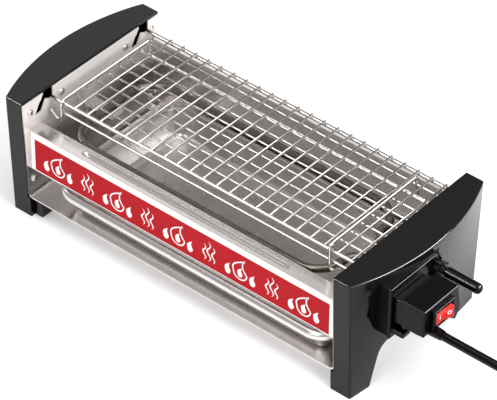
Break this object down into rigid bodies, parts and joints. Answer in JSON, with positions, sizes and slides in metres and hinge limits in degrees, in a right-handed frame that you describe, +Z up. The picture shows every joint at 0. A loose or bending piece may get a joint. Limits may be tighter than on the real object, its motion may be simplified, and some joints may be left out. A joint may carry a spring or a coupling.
{
  "type": "electric table grill",
  "caption": "Long electric skewer grill with black end panels, lift-off wire net over a heater loop, slide-out drip tray and a pull-off power unit with a rocker switch and cord.",
  "frame": {"origin": "on the table, under the middle of the grill's box without its free cord", "axes": "+X along the grill towards the power unit, -Y to the front with the label, +Z up"},
  "size_m": [0.544, 0.1522, 0.108],
  "materials": {
    "panel_black": "glossy",
    "steel_sheet": "satin",
    "tray_steel": "satin",
    "label_red": "printed, satin",
    "screw_steel": "satin",
    "heater_sheath": "dull",
    "terminal_brass": "bright",
    "insulator": "matt",
    "net_chrome": "bright",
    "unit_black": "glossy",
    "crown_dark": "matt",
    "spring_steel": "satin",
    "rocker_red": "glossy",
    "cord_black": "satin",
    "tie_black": "matt"
  },
  "bodies": {
    "grill": {"left_end_panel": "panel_black", "right_end_panel": "panel_black", "tub": "steel_sheet", "front_panel": "steel_sheet", "back_panel": "steel_sheet", "front_label": "label_red", "heater": "heater_sheath", "heater_posts": "terminal_brass", "heater_bushings": "insulator", "heater_bracket": "steel_sheet", "panel_screws": "screw_steel", "socket_block": "unit_black", "socket_pins": "terminal_brass", "lead_wires": "cord_black"},
    "tray": {"drip_tray": "tray_steel"},
    "net": {"net_rods": "net_chrome", "net_mesh": "net_chrome", "net_end_bar": "net_chrome", "net_lift_bar": "net_chrome", "net_lower_rods": "net_chrome"},
    "power_unit": {"power_flange": "unit_black", "power_cover": "unit_black", "contact_sleeves": "terminal_brass", "contact_block": "insulator", "thermal_cutout": "spring_steel", "switch_body": "unit_black", "rod_crown": "crown_dark", "rod_spring": "spring_steel", "cord_gland": "cord_black", "power_cord": "cord_black", "cord_coil": "cord_black", "cord_tie": "tie_black", "plug_body": "cord_black", "plug_blades": "terminal_brass"},
    "rocker": {"rocker": "rocker_red"},
    "release_rod": {"release_rod": "unit_black"}
  },
  "joints": [
    {"name": "tray_slide", "type": "slide", "parent": "grill", "child": "tray", "axis": [0, -1, 0], "range_m": [0, 0.13]},
    {"name": "net_lift", "type": "slide", "parent": "grill", "child": "net", "axis": [0, 0, 1], "range_m": [0, 0.08]},
    {"name": "unit_pull", "type": "slide", "parent": "grill", "child": "power_unit", "axis": [1, 0, 0], "range_m": [0, 0.03]},
    {"name": "rocker_tip", "type": "hinge", "parent": "power_unit", "child": "rocker", "pos_m": [0.1889, -0.036, 0.0876], "axis": [0, 0, 1], "range_deg": [0, 22]},
    {"name": "release_push", "type": "slide", "parent": "power_unit", "child": "release_rod", "axis": [-1, 0, 0], "range_m": [0, 0.004], "stiffness_N_per_m": 300, "deforming": ["rod_spring"]}
  ]
}
